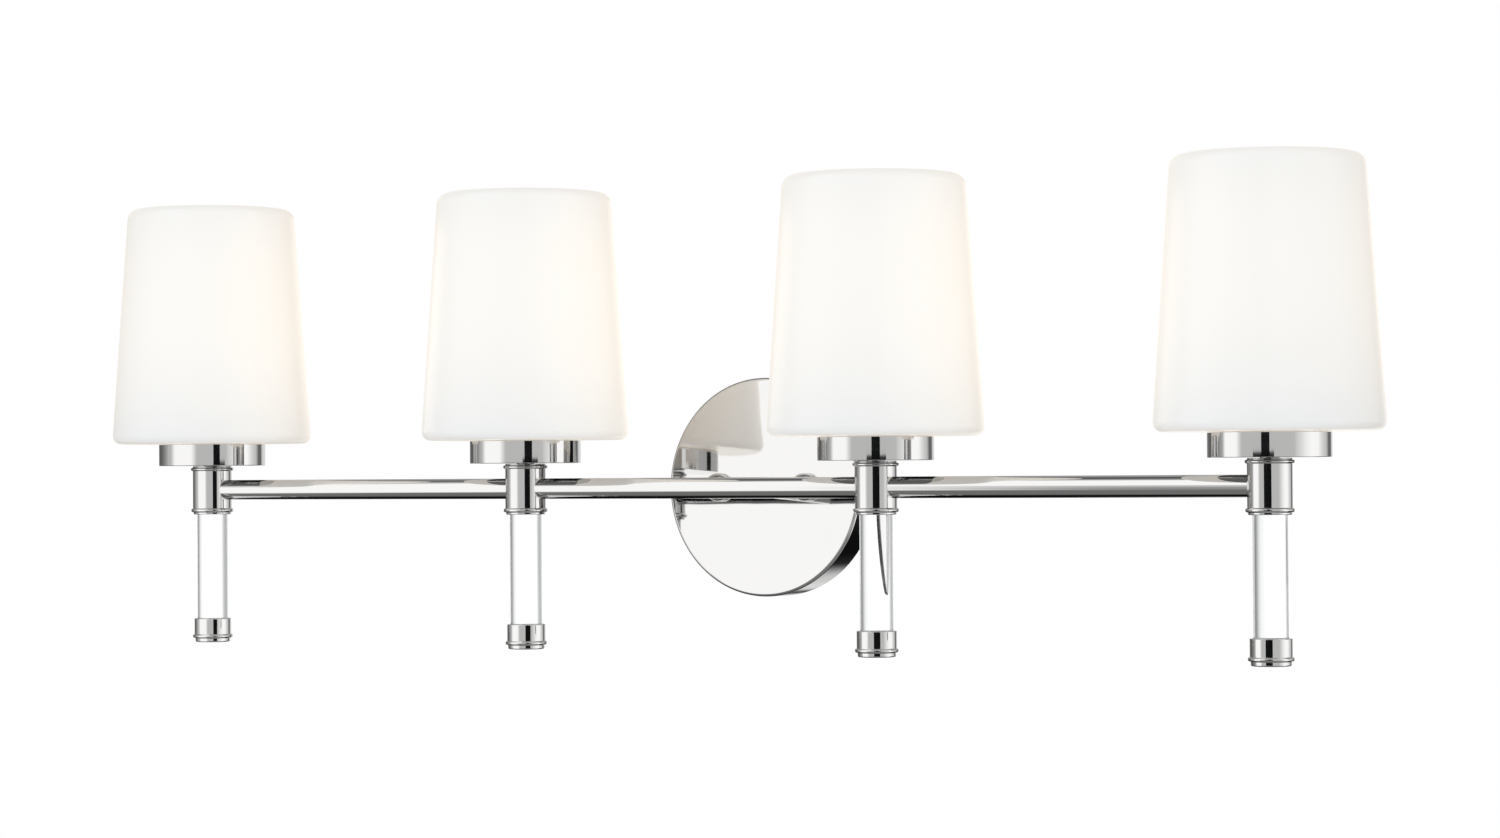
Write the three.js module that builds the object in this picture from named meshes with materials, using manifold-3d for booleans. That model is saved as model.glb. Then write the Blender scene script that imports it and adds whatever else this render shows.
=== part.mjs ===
// A vanity light bar: a horizontal tube carries four lights and stands off the wall on one arm.
// Millimetres, +Z up, +X along the bar to the right as seen from the room, +Y into the wall.
// The origin is the centre of the round back plate, on the wall's surface.

import * as THREE from "three";
import { mergeVertices } from "three/addons/utils/BufferGeometryUtils.js";
import Module from "manifold-3d";

const wasm = await Module();
wasm.setup();

// ---------------------------------------------------------------- overall layout
const LIGHT_COUNT = 4;
const LIGHT_PITCH = 230; // from one light's axis to the next
const BAR_STANDOFF = 96.6; // wall to the bar's axis
const CLEARANCE = 0.3; // left between pieces that touch or fit together
const SLIP = 0.6; // left round a piece that turns or slides out

// ---------------------------------------------------------------- bar and arm
const BAR_RADIUS = 5.9;
const TUBE_WALL = 1.0;
const ARM_RADIUS = 5.9;
const ARM_THREAD_RADIUS = 5.0;
const ARM_THREAD_LENGTH = 9.5; // behind the plate's front face
const ARM_THREAD_BORE = 4.2;

// ---------------------------------------------------------------- hub of each light
const ROD_RADIUS = 9.1;
const ROD_EXPOSED = 63.4; // clear rod seen between the hub and the end cap
const ROD_SEAT_DEPTH = 6; // how far the rod enters the hub and the end cap
const HUB_WALL = 2.6; // round the rod's recess
const HUB_ABOVE_BAR = 8.5; // hub's top face over the bar's topmost line
const HUB_BELOW_BAR = 9.0;
const HUB_COLLAR_HEIGHT = 2.8;
const HUB_COLLAR_STEP = 1.2; // how far the collar stands out
const HUB_BEAD_HEIGHT = 2.3;
const HUB_BEAD_STEP = 1.0;
const HUB_LIP_HEIGHT = 1.3;
const HUB_LIP_STEP = 0.4; // how far the lip is set in
const BAR_SEAT_DEPTH = 5.2; // how far a bar tube enters a hub

// ---------------------------------------------------------------- end cap under the rod
const CAP_WALL = 1.9;
const CAP_BODY_HEIGHT = 9.6;
const CAP_BEAD_HEIGHT = 2.1;
const CAP_BEAD_STEP = 1.0;
const CAP_LIP_HEIGHT = 2.5;
const CAP_LIP_STEP = 0.5;

// ---------------------------------------------------------------- fitter cup and glass shade
const CUP_RADIUS = 32;
const CUP_HEIGHT = 13.1;
const CUP_WALL = 1.2;
const CUP_EDGE_RADIUS = 0.8;
const SHADE_BASE_RADIUS = 60.1;
const SHADE_TOP_RADIUS = 50.1;
const SHADE_HEIGHT = 142.9;
const SHADE_WALL = 3;
const SHADE_CORNER_RADIUS = 5.5;
const SHADE_SHOULDER_RADIUS = 5; // rounding where the wall turns in to the lip
const SHADE_MOUTH_RADIUS = 43.5;
const SHADE_LIP_SLOPE = 9; // degrees that the lip rises towards the mouth
const SHADE_RIM_RADIUS = 1.4;
const SHADE_HOLE_SLIP = 1.5; // shade's hole round the lampholder

// ---------------------------------------------------------------- lampholder, screw shell and lamp
const LAMP_BASE_RADIUS = 13.2; // E26 base
const LAMP_BASE_HEIGHT = 22;
const LAMP_CONTACT_HEIGHT = 3;
const LAMP_CONTACT_RADIUS = 5;
const LAMP_LENGTH = 108; // A19 lamp with its base
const LAMP_GLOBE_RADIUS = 30;
const LAMP_NECK_STEP = 0.8; // how far the glass neck stands out over the base
const SHELL_WALL = 0.6;
const SHELL_HEIGHT = 23.5;
const HOLDER_WALL = 4.8;
const HOLDER_FLOOR = 9.5;
const HOLDER_HEIGHT = 36;
const RING_BAND = 5.7;
const RING_HEIGHT = 6;

// ---------------------------------------------------------------- threaded nipple through each cup
const NIPPLE_RADIUS = 5;
const NIPPLE_BORE = 3.4;
const NIPPLE_IN_HUB = 7;
const NIPPLE_IN_HOLDER = 6;

// ---------------------------------------------------------------- back plate and what holds it
const PLATE_RADIUS = 63.5;
const PLATE_DEPTH = 21.5;
const PLATE_WALL = 1.2;
const PLATE_EDGE_RADIUS = 1.3;
const STUD_SPACING = 58;
const STUD_RADIUS = 2.1;
const STUD_PAST_PLATE = 6;
const CAP_NUT_RADIUS = 8.2;
const CAP_NUT_BASE_HEIGHT = 2;
const CAP_NUT_HEIGHT = 9.5;
const LOCK_NUT_FLATS = 15;
const LOCK_NUT_HEIGHT = 4;
const STRAP_THICKNESS = 1.8;
const STRAP_HEIGHT = 24;
const STRAP_END_ROOM = 10; // from the strap's end to the plate's side wall
const STRAP_CENTRE_HOLE = 7.5;
const STRAP_SLOT_WIDTH = 5;
const STRAP_SLOT_LENGTH = 12;
const STRAP_SLOT_EDGE = 4.5; // from the slot's outer end to the strap's end
const GROUND_SCREW_RADIUS = 1.9;
const GROUND_SCREW_HEAD_RADIUS = 3.8;
const GROUND_SCREW_HEAD_HEIGHT = 2.6;
const GROUND_SCREW_RISE = 6.5; // over the strap's middle line
const GROUND_SCREW_OFFSET = 15;

// ---------------------------------------------------------------- lead wires
const LEAD_RADIUS = 1.3;
const LEAD_BEND_RADIUS = 4;
const LEAD_SIDES = 6;
const LEAD_BEND_STEPS = 3;
const LEAD_END_FROM_WALL = 6;

// ---------------------------------------------------------------- facets
const ARC_STEPS = 2; // straight steps in a small rounded corner
const FINE_SIDES = 28;
const MIDDLE_SIDES = 20;
const SMALL_SIDES = 16;
const LAMP_SIDES = 12;
const TINY_SIDES = 12;

// ---------------------------------------------------------------- heights over the bar's axis
const hubRadius = ROD_RADIUS + HUB_WALL;
const hubTop = BAR_RADIUS + HUB_ABOVE_BAR;
const hubBottom = -(BAR_RADIUS + HUB_BELOW_BAR);
const rodTop = hubBottom + ROD_SEAT_DEPTH - CLEARANCE;
const capTop = hubBottom - ROD_EXPOSED;
const rodBottom = capTop - ROD_SEAT_DEPTH + CLEARANCE;
const cupBottom = hubTop + CLEARANCE;
const cupFloorTop = cupBottom + CUP_WALL;
const cupTop = cupBottom + CUP_HEIGHT;
const shadeBottom = cupTop + CLEARANCE;
const shadeTop = shadeBottom + SHADE_HEIGHT;
const shellRadius = LAMP_BASE_RADIUS + SLIP + SHELL_WALL;
const holderBore = shellRadius + CLEARANCE;
const holderRadius = holderBore + HOLDER_WALL;
const holderBottom = cupFloorTop + CLEARANCE;
const holderFloorTop = holderBottom + HOLDER_FLOOR;
const holderTop = holderBottom + HOLDER_HEIGHT;
const shellBottom = holderFloorTop + CLEARANCE;
const lampBottom = shellBottom + SHELL_WALL + SLIP;
const ringBottom = shadeBottom + SHADE_WALL + CLEARANCE;
const ringBore = holderRadius + SLIP;
const nippleBottom = hubTop - NIPPLE_IN_HUB;
const nippleTop = holderBottom + NIPPLE_IN_HOLDER;

// ---------------------------------------------------------------- depths, measured from the wall (y = 0)
const barY = -BAR_STANDOFF;
const plateFrontY = -PLATE_DEPTH;
const plateInsideY = plateFrontY + PLATE_WALL;
const strapBackY = -CLEARANCE;
const strapFrontY = strapBackY - STRAP_THICKNESS;
const armShoulderY = plateFrontY - CLEARANCE;
const armEndY = plateFrontY + ARM_THREAD_LENGTH;
const cutRadius = BAR_RADIUS + CLEARANCE; // cuts made round the bar
const barBore = BAR_RADIUS - TUBE_WALL;

// ---------------------------------------------------------------- materials
const finishes = {
  chrome: { color: 0xd9dbdd, roughness: 0.06, metalness: 1 },
  opalGlass: { color: 0xf7f4ee, roughness: 0.35, metalness: 0 },
  clearAcrylic: { color: 0xf2f6f7, roughness: 0.04, metalness: 0, transparent: true, opacity: 0.35 },
  lampGlass: { color: 0xfff1d6, roughness: 0.4, metalness: 0 },
  aluminium: { color: 0xc6c8ca, roughness: 0.35, metalness: 1 },
  phenolic: { color: 0x1d1b1a, roughness: 0.5, metalness: 0 },
  brass: { color: 0xc9a45a, roughness: 0.3, metalness: 1 },
  zincSteel: { color: 0xb4b6b5, roughness: 0.45, metalness: 1 },
  greenScrew: { color: 0x2f7d3d, roughness: 0.4, metalness: 0.6 },
  leadBlack: { color: 0x202022, roughness: 0.6, metalness: 0 },
};

function named(name, geometry, finish) {
  const mesh = new THREE.Mesh(geometry, new THREE.MeshStandardMaterial(finish));
  mesh.name = name;
  return mesh;
}

// ---------------------------------------------------------------- shapes
const point = (x, y) => new THREE.Vector2(x, y);

// Points on an arc about (cx, cy), from one angle to another, in degrees.
function arc(cx, cy, radius, from, to, steps = ARC_STEPS) {
  return Array.from({ length: steps + 1 }, (_, i) => {
    const angle = THREE.MathUtils.degToRad(from + ((to - from) * i) / steps);
    return point(cx + radius * Math.cos(angle), cy + radius * Math.sin(angle));
  });
}

// A closed outline of (radius, height) points turned about the Y axis, faces outwards.
function turned(outline, sides) {
  const counterClockwise = THREE.ShapeUtils.area(outline) > 0;
  const ring = counterClockwise ? [...outline] : [...outline].reverse();
  ring.push(ring[0].clone());
  return new THREE.LatheGeometry(ring, sides);
}

// The same outline turned about the upright Z axis.
function turnedUpright(outline, sides) {
  return turned(outline, sides).rotateX(Math.PI / 2);
}

// A plain hollow or solid cylinder's outline, from one height to another.
function band(inner, outer, low, high) {
  return [point(inner, low), point(outer, low), point(outer, high), point(inner, high)];
}

// A solid round cutter along X, Y or Z through a centre.
function cutter(axis, radius, from, to, centre, sides) {
  const geometry = new THREE.CylinderGeometry(radius, radius, to - from, sides);
  geometry.translate(0, (from + to) / 2, 0);
  if (axis === "x") geometry.rotateZ(-Math.PI / 2);
  if (axis === "z") geometry.rotateX(Math.PI / 2);
  return geometry.translate(...centre);
}

// ---------------------------------------------------------------- cutting and joining
function solidOf(geometry) {
  const bare = geometry.clone();
  bare.deleteAttribute("normal");
  bare.deleteAttribute("uv");
  const merged = mergeVertices(bare, 1e-4);
  const vertProperties = new Float32Array(merged.attributes.position.array);
  const triVerts = new Uint32Array(merged.index.array);
  return new wasm.Manifold(new wasm.Mesh({ numProp: 3, vertProperties, triVerts }));
}

function geometryOf(solid) {
  const mesh = solid.getMesh();
  const geometry = new THREE.BufferGeometry();
  geometry.setAttribute("position", new THREE.BufferAttribute(mesh.vertProperties, 3));
  geometry.setIndex(new THREE.BufferAttribute(mesh.triVerts, 1));
  geometry.computeVertexNormals();
  return geometry;
}

function cut(geometry, cutters) {
  return geometryOf(cutters.reduce((solid, tool) => solid.subtract(solidOf(tool)), solidOf(geometry)));
}

// ---------------------------------------------------------------- pieces of one light
// The hub's collar, body, bead and lip, with a recess for the rod, a bore for the nipple
// and a seat for a bar tube on each side that has one.
function hubGeometry(barOnLeft, barOnRight) {
  const collar = hubRadius + HUB_COLLAR_STEP;
  const lip = hubRadius - HUB_LIP_STEP;
  const beadBottom = hubBottom + HUB_LIP_HEIGHT;
  const beadTop = beadBottom + HUB_BEAD_HEIGHT;
  const outline = [
    point(0, hubBottom + ROD_SEAT_DEPTH),
    point(ROD_RADIUS + CLEARANCE, hubBottom + ROD_SEAT_DEPTH),
    point(ROD_RADIUS + CLEARANCE, hubBottom),
    point(lip, hubBottom),
    point(lip, beadBottom),
    ...arc(hubRadius, (beadBottom + beadTop) / 2, HUB_BEAD_STEP, -60, 60),
    point(hubRadius, beadTop),
    point(hubRadius, hubTop - HUB_COLLAR_HEIGHT),
    point(collar, hubTop - HUB_COLLAR_HEIGHT),
    point(collar, hubTop),
    point(0, hubTop),
  ];
  const body = turnedUpright(outline, MIDDLE_SIDES);
  const seatStart = hubRadius - BAR_SEAT_DEPTH - CLEARANCE;
  const reach = hubRadius + 5; // past the hub's side
  const origin = [0, 0, 0];
  const tools = [
    cutter("z", NIPPLE_RADIUS + CLEARANCE, nippleBottom - CLEARANCE, reach + hubTop, origin, TINY_SIDES),
    cutter("z", NIPPLE_BORE, 0, hubTop, origin, TINY_SIDES),
    cutter("x", barBore, barOnLeft ? -reach : -barBore, barOnRight ? reach : barBore, origin, SMALL_SIDES),
  ];
  if (barOnLeft) tools.push(cutter("x", cutRadius, -reach, -seatStart, origin, SMALL_SIDES));
  if (barOnRight) tools.push(cutter("x", cutRadius, seatStart, reach, origin, SMALL_SIDES));
  return cut(body, tools);
}

function rodGeometry() {
  return turnedUpright(band(0, ROD_RADIUS, rodBottom, rodTop), MIDDLE_SIDES);
}

// A closed cup for the rod's lower end, with a bead and a small foot.
function endCapGeometry() {
  const radius = ROD_RADIUS + CAP_WALL;
  const bore = ROD_RADIUS + CLEARANCE;
  const beadTop = capTop - CAP_BODY_HEIGHT;
  const beadBottom = beadTop - CAP_BEAD_HEIGHT;
  const bottom = beadBottom - CAP_LIP_HEIGHT;
  const outline = [
    point(0, bottom),
    point(radius - CAP_LIP_STEP, bottom),
    point(radius - CAP_LIP_STEP, beadBottom),
    ...arc(radius, (beadTop + beadBottom) / 2, CAP_BEAD_STEP, -60, 60),
    point(radius, beadTop),
    point(radius, capTop),
    point(bore, capTop),
    point(bore, capTop - ROD_SEAT_DEPTH),
    point(0, capTop - ROD_SEAT_DEPTH),
  ];
  return turnedUpright(outline, MIDDLE_SIDES);
}

// The shallow cup under the shade, with the nipple's hole in its floor.
function cupGeometry() {
  const hole = NIPPLE_RADIUS + CLEARANCE;
  const inside = CUP_RADIUS - CUP_WALL;
  const edge = CUP_EDGE_RADIUS;
  const outline = [
    point(hole, cupBottom),
    ...arc(CUP_RADIUS - edge, cupBottom + edge, edge, -90, 0, 1),
    point(CUP_RADIUS, cupTop),
    point(inside, cupTop),
    point(inside, cupFloorTop),
    point(hole, cupFloorTop),
  ];
  return turnedUpright(outline, MIDDLE_SIDES);
}

function nippleGeometry() {
  return turnedUpright(band(NIPPLE_BORE, NIPPLE_RADIUS, nippleBottom, nippleTop), TINY_SIDES);
}

// The lampholder's insulating body: a thick cup, with a step in its floor over the nipple.
function holderGeometry() {
  const bore = NIPPLE_RADIUS + CLEARANCE;
  const wireway = NIPPLE_BORE;
  const outline = [
    point(bore, holderBottom),
    point(holderRadius, holderBottom),
    point(holderRadius, holderTop),
    point(holderBore, holderTop),
    point(holderBore, holderFloorTop),
    point(wireway, holderFloorTop),
    point(wireway, nippleTop + CLEARANCE),
    point(bore, nippleTop + CLEARANCE),
  ];
  return turnedUpright(outline, LAMP_SIDES);
}

// The screw shell that grips the lamp's base, closed underneath by its contact.
function shellGeometry() {
  const top = shellBottom + SHELL_HEIGHT;
  const floorTop = shellBottom + SHELL_WALL;
  const inside = shellRadius - SHELL_WALL;
  const outline = [
    point(0, shellBottom),
    point(shellRadius, shellBottom),
    point(shellRadius, top),
    point(inside, top),
    point(inside, floorTop),
    point(0, floorTop),
  ];
  return turnedUpright(outline, LAMP_SIDES);
}

// The threaded ring that clamps the shade's floor down on the cup's rim.
function ringGeometry() {
  return turnedUpright(
    band(ringBore, ringBore + RING_BAND, ringBottom, ringBottom + RING_HEIGHT),
    MIDDLE_SIDES,
  );
}

// The opal glass shade: a tapered tumbler with its mouth up and a hole in its floor.
// Its wall leans inwards as it rises, so each corner's arc ends square to that lean.
// At the top the wall rounds over into a narrow lip, which rises a little to the mouth's rim.
function shadeGeometry() {
  const lean = THREE.MathUtils.radToDeg(Math.atan2(SHADE_BASE_RADIUS - SHADE_TOP_RADIUS, SHADE_HEIGHT));
  const hole = holderRadius + SHADE_HOLE_SLIP;
  const corner = SHADE_CORNER_RADIUS;
  const innerCorner = corner - SHADE_WALL;
  const cornerX = SHADE_BASE_RADIUS - corner;
  const cornerZ = shadeBottom + corner;
  const lipAngle = 90 - SHADE_LIP_SLOPE;
  const slope = THREE.MathUtils.degToRad(SHADE_LIP_SLOPE);
  const rim = SHADE_RIM_RADIUS;
  const rimX = SHADE_MOUTH_RADIUS + rim;
  const rimZ = shadeTop - rim;
  const shoulder = SHADE_SHOULDER_RADIUS;
  const innerShoulder = shoulder - SHADE_WALL;
  const shoulderX = SHADE_TOP_RADIUS - shoulder;
  const shoulderZ = rimZ - (shoulderX - rimX) * Math.tan(slope) - (shoulder - rim) / Math.cos(slope);
  const outline = [
    point(hole, shadeBottom),
    ...arc(cornerX, cornerZ, corner, -90, lean),
    ...arc(shoulderX, shoulderZ, shoulder, lean, lipAngle),
    ...arc(rimX, rimZ, rim, lipAngle, lipAngle + 180),
    ...arc(shoulderX, shoulderZ, innerShoulder, lipAngle, lean, 1),
    ...arc(cornerX, cornerZ, innerCorner, lean, -90),
    point(hole, shadeBottom + SHADE_WALL),
  ];
  return turnedUpright(outline, FINE_SIDES);
}

// The lamp's metal screw base, with its contact underneath.
function lampBaseGeometry() {
  const collar = lampBottom + LAMP_CONTACT_HEIGHT;
  const outline = [
    point(0, lampBottom),
    point(LAMP_CONTACT_RADIUS, lampBottom),
    point(LAMP_BASE_RADIUS, collar),
    point(LAMP_BASE_RADIUS, collar + LAMP_BASE_HEIGHT),
    point(0, collar + LAMP_BASE_HEIGHT),
  ];
  return turnedUpright(outline, LAMP_SIDES);
}

// The lamp's glass: a neck that widens into a globe.
function lampGlassGeometry() {
  const bottom = lampBottom + LAMP_CONTACT_HEIGHT + LAMP_BASE_HEIGHT + CLEARANCE;
  const centre = lampBottom + LAMP_LENGTH - LAMP_GLOBE_RADIUS;
  const outline = [
    point(0, bottom),
    point(LAMP_BASE_RADIUS + LAMP_NECK_STEP, bottom),
    ...arc(0, centre, LAMP_GLOBE_RADIUS, -36, 90, 6),
  ];
  return turnedUpright(outline, LAMP_SIDES);
}

// ---------------------------------------------------------------- bar, arm and plate
// A bar tube lies along X between two places. The middle one has the arm's wire hole in its back.
function barTubeGeometry(from, to, wireHole) {
  const tube = turned(band(barBore, BAR_RADIUS, from, to), SMALL_SIDES).rotateZ(-Math.PI / 2);
  if (!wireHole) return tube;
  return cut(tube, [cutter("y", ARM_THREAD_BORE, 0, BAR_RADIUS + 1, [0, 0, 0], SMALL_SIDES)]);
}

// The arm's front end is coped round the bar. Its back end is a thread through the plate.
function armGeometry() {
  const outline = [
    point(ARM_RADIUS - TUBE_WALL, barY),
    point(ARM_RADIUS, barY),
    point(ARM_RADIUS, armShoulderY),
    point(ARM_THREAD_RADIUS, armShoulderY),
    point(ARM_THREAD_RADIUS, armEndY),
    point(ARM_THREAD_BORE, armEndY),
    point(ARM_THREAD_BORE, armShoulderY - TUBE_WALL),
    point(ARM_RADIUS - TUBE_WALL, armShoulderY - TUBE_WALL),
  ];
  const cope = cutter("x", cutRadius, -2 * cutRadius, 2 * cutRadius, [0, barY, 0], SMALL_SIDES);
  return cut(turned(outline, SMALL_SIDES), [cope]);
}

// A shallow round pan, open towards the wall.
function plateGeometry() {
  const inside = PLATE_RADIUS - PLATE_WALL;
  const edge = PLATE_EDGE_RADIUS;
  const armHole = ARM_THREAD_RADIUS + CLEARANCE;
  const outline = [
    point(armHole, plateFrontY),
    ...arc(PLATE_RADIUS - edge, plateFrontY + edge, edge, -90, 0),
    point(PLATE_RADIUS, 0),
    point(inside, 0),
    point(inside, plateInsideY),
    point(armHole, plateInsideY),
  ];
  const studHole = STUD_RADIUS + CLEARANCE;
  const holes = [-1, 1].map((side) =>
    cutter("y", studHole, plateFrontY - 1, plateInsideY + 1, [(side * STUD_SPACING) / 2, 0, 0], TINY_SIDES),
  );
  return cut(turned(outline, FINE_SIDES), holes);
}

// A domed nut turned about Y, with a blind hole for its stud.
function capNutGeometry() {
  const base = armShoulderY;
  const domeStart = base - CAP_NUT_BASE_HEIGHT;
  const domeHeight = CAP_NUT_HEIGHT - CAP_NUT_BASE_HEIGHT;
  const bore = STUD_RADIUS + SLIP;
  const boreEnd = base - STUD_PAST_PLATE - CLEARANCE;
  const dome = arc(0, 0, 1, 0, 90, 4).map((p) =>
    point(p.x * CAP_NUT_RADIUS, domeStart - p.y * domeHeight),
  );
  const outline = [
    point(0, boreEnd),
    point(bore, boreEnd),
    point(bore, base),
    point(CAP_NUT_RADIUS, base),
    ...dome,
  ];
  return turned(outline, SMALL_SIDES);
}

function studGeometry() {
  const tip = armShoulderY - STUD_PAST_PLATE + CLEARANCE;
  return turned(band(0, STUD_RADIUS, tip, strapBackY), TINY_SIDES);
}

// A hexagonal nut on the arm's thread, behind the plate.
function lockNutGeometry() {
  const corner = LOCK_NUT_FLATS / Math.sqrt(3);
  const hexagon = new THREE.Shape(arc(0, 0, corner, 0, 300, 5));
  const hole = new THREE.Path(arc(0, 0, ARM_THREAD_RADIUS + CLEARANCE, 0, 337.5, SMALL_SIDES - 1));
  hexagon.holes.push(hole);
  const nut = new THREE.ExtrudeGeometry(hexagon, { depth: LOCK_NUT_HEIGHT, bevelEnabled: false });
  return nut.rotateX(-Math.PI / 2).translate(0, plateInsideY + CLEARANCE, 0);
}

// Points along a slot or strap end: a straight run closed by two half circles.
function slotPath(length, width, centreX, PathType) {
  const straight = (length - width) / 2;
  return new PathType([
    ...arc(centreX + straight, 0, width / 2, -90, 90, 6),
    ...arc(centreX - straight, 0, width / 2, 90, 270, 6),
  ]);
}

// The steel crossbar that is screwed to the wall box and carries the two studs.
function strapGeometry() {
  const halfLength = PLATE_RADIUS - PLATE_WALL - STRAP_END_ROOM;
  const slotX = halfLength - STRAP_SLOT_EDGE - STRAP_SLOT_LENGTH / 2;
  const outline = slotPath(2 * halfLength, STRAP_HEIGHT, 0, THREE.Shape);
  const screwHole = GROUND_SCREW_RADIUS + CLEARANCE;
  const studHole = STUD_RADIUS + CLEARANCE;
  outline.holes.push(
    new THREE.Path(arc(0, 0, STRAP_CENTRE_HOLE, 0, 337.5, SMALL_SIDES - 1)),
    new THREE.Path(arc(GROUND_SCREW_OFFSET, GROUND_SCREW_RISE, screwHole, 0, 330, TINY_SIDES - 1)),
  );
  [-1, 1].forEach((side) => {
    outline.holes.push(slotPath(STRAP_SLOT_LENGTH, STRAP_SLOT_WIDTH, side * slotX, THREE.Path));
    outline.holes.push(new THREE.Path(arc((side * STUD_SPACING) / 2, 0, studHole, 0, 330, TINY_SIDES - 1)));
  });
  const strap = new THREE.ExtrudeGeometry(outline, { depth: STRAP_THICKNESS, bevelEnabled: false });
  return strap.rotateX(Math.PI / 2).translate(0, strapBackY, 0);
}

function groundScrewGeometry() {
  const headBack = strapFrontY - CLEARANCE;
  const headFront = headBack - GROUND_SCREW_HEAD_HEIGHT;
  const outline = [
    point(0, headFront),
    point(GROUND_SCREW_HEAD_RADIUS, headFront),
    point(GROUND_SCREW_HEAD_RADIUS, headBack),
    point(GROUND_SCREW_RADIUS, headBack),
    point(GROUND_SCREW_RADIUS, strapBackY),
    point(0, strapBackY),
  ];
  return turned(outline, TINY_SIDES);
}

// ---------------------------------------------------------------- lead wires
// A path through a list of points, with one step of the tube from each point to the next.
class PointPath extends THREE.Curve {
  constructor(points) {
    super();
    this.points = points;
  }

  getPoint(t, target = new THREE.Vector3()) {
    const last = this.points.length - 1;
    const index = Math.min(Math.floor(t * last), last - 1);
    return target.lerpVectors(this.points[index], this.points[index + 1], t * last - index);
  }

  getPointAt(u, target) {
    return this.getPoint(u, target);
  }

  getTangentAt(u, target) {
    return this.getTangent(u, target);
  }
}

// Rounds each inner corner of a route with a quarter bend.
function roundedRoute(corners, radius) {
  const route = [corners[0]];
  corners.slice(1, -1).forEach((corner, i) => {
    const back = corners[i].clone().sub(corner).normalize();
    const ahead = corners[i + 2].clone().sub(corner).normalize();
    const centre = corner.clone().addScaledVector(back, radius).addScaledVector(ahead, radius);
    for (let step = 0; step <= LEAD_BEND_STEPS; step += 1) {
      const angle = (Math.PI / 2) * (step / LEAD_BEND_STEPS);
      const place = centre.clone().addScaledVector(ahead, -radius * Math.cos(angle));
      route.push(place.addScaledVector(back, -radius * Math.sin(angle)));
    }
  });
  return [...route, corners.at(-1)];
}

// Each light's pair of leads, in one sleeve, runs down its nipple, along the bar and back
// through the arm. Four of them lie two by two in the arm, so each has a lane of its own.
function leadGeometry(lightX, outerLight) {
  const lane = LEAD_RADIUS + CLEARANCE;
  const laneX = Math.sign(lightX) * lane;
  const laneZ = outerLight ? -lane : lane;
  const corners = [
    new THREE.Vector3(lightX, barY, shellBottom - SLIP),
    new THREE.Vector3(lightX, barY, laneZ),
    new THREE.Vector3(laneX, barY, laneZ),
    new THREE.Vector3(laneX, -LEAD_END_FROM_WALL, laneZ),
  ];
  const path = new PointPath(roundedRoute(corners, LEAD_BEND_RADIUS));
  const section = new THREE.Shape(arc(0, 0, LEAD_RADIUS, 0, 300, LEAD_SIDES - 1));
  return new THREE.ExtrudeGeometry(section, {
    steps: path.points.length - 1,
    extrudePath: path,
    bevelEnabled: false,
  });
}

// ---------------------------------------------------------------- assembly
const lightX = (index) => (index - (LIGHT_COUNT - 1) / 2) * LIGHT_PITCH;

function light(index) {
  const group = new THREE.Group();
  const number = index + 1;
  const pieces = [
    ["hub", hubGeometry(index > 0, index < LIGHT_COUNT - 1), finishes.chrome],
    ["clear_rod", rodGeometry(), finishes.clearAcrylic],
    ["end_cap", endCapGeometry(), finishes.chrome],
    ["fitter_cup", cupGeometry(), finishes.chrome],
    ["nipple", nippleGeometry(), finishes.zincSteel],
    ["lampholder", holderGeometry(), finishes.phenolic],
    ["screw_shell", shellGeometry(), finishes.brass],
    ["shade_ring", ringGeometry(), finishes.phenolic],
    ["shade", shadeGeometry(), finishes.opalGlass],
    ["lamp_base", lampBaseGeometry(), finishes.aluminium],
    ["lamp_glass", lampGlassGeometry(), finishes.lampGlass],
  ];
  pieces.forEach(([name, geometry, finish]) => group.add(named(`${name}_${number}`, geometry, finish)));
  group.position.set(lightX(index), barY, 0);
  return group;
}

function bar() {
  const group = new THREE.Group();
  const names = ["left", "middle", "right"];
  names.forEach((name, i) => {
    const seat = hubRadius - BAR_SEAT_DEPTH;
    const geometry = barTubeGeometry(lightX(i) + seat, lightX(i + 1) - seat, name === "middle");
    group.add(named(`bar_tube_${name}`, geometry, finishes.chrome));
  });
  group.position.y = barY;
  return group;
}

function wallPlate() {
  const group = new THREE.Group();
  group.add(
    named("arm_tube", armGeometry(), finishes.chrome),
    named("back_plate", plateGeometry(), finishes.chrome),
    named("arm_lock_nut", lockNutGeometry(), finishes.zincSteel),
    named("mounting_strap", strapGeometry(), finishes.zincSteel),
  );
  [-1, 1].forEach((side) => {
    const word = side < 0 ? "left" : "right";
    const stud = named(`stud_${word}`, studGeometry(), finishes.zincSteel);
    const nut = named(`cap_nut_${word}`, capNutGeometry(), finishes.chrome);
    stud.position.x = (side * STUD_SPACING) / 2;
    nut.position.x = (side * STUD_SPACING) / 2;
    group.add(stud, nut);
  });
  const screw = named("ground_screw", groundScrewGeometry(), finishes.greenScrew);
  screw.position.set(GROUND_SCREW_OFFSET, 0, GROUND_SCREW_RISE);
  group.add(screw);
  return group;
}

function leads() {
  const group = new THREE.Group();
  for (let index = 0; index < LIGHT_COUNT; index += 1) {
    const outerLight = index === 0 || index === LIGHT_COUNT - 1;
    group.add(named(`lead_${index + 1}`, leadGeometry(lightX(index), outerLight), finishes.leadBlack));
  }
  return group;
}

const lightBar = new THREE.Group();
for (let index = 0; index < LIGHT_COUNT; index += 1) {
  lightBar.add(light(index));
}
lightBar.add(bar(), wallPlate(), leads());

export default lightBar;
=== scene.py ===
import math

import bmesh
import bpy
from bpy.props import FloatProperty, FloatVectorProperty, IntProperty, PointerProperty
from mathutils import Matrix, Vector


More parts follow.
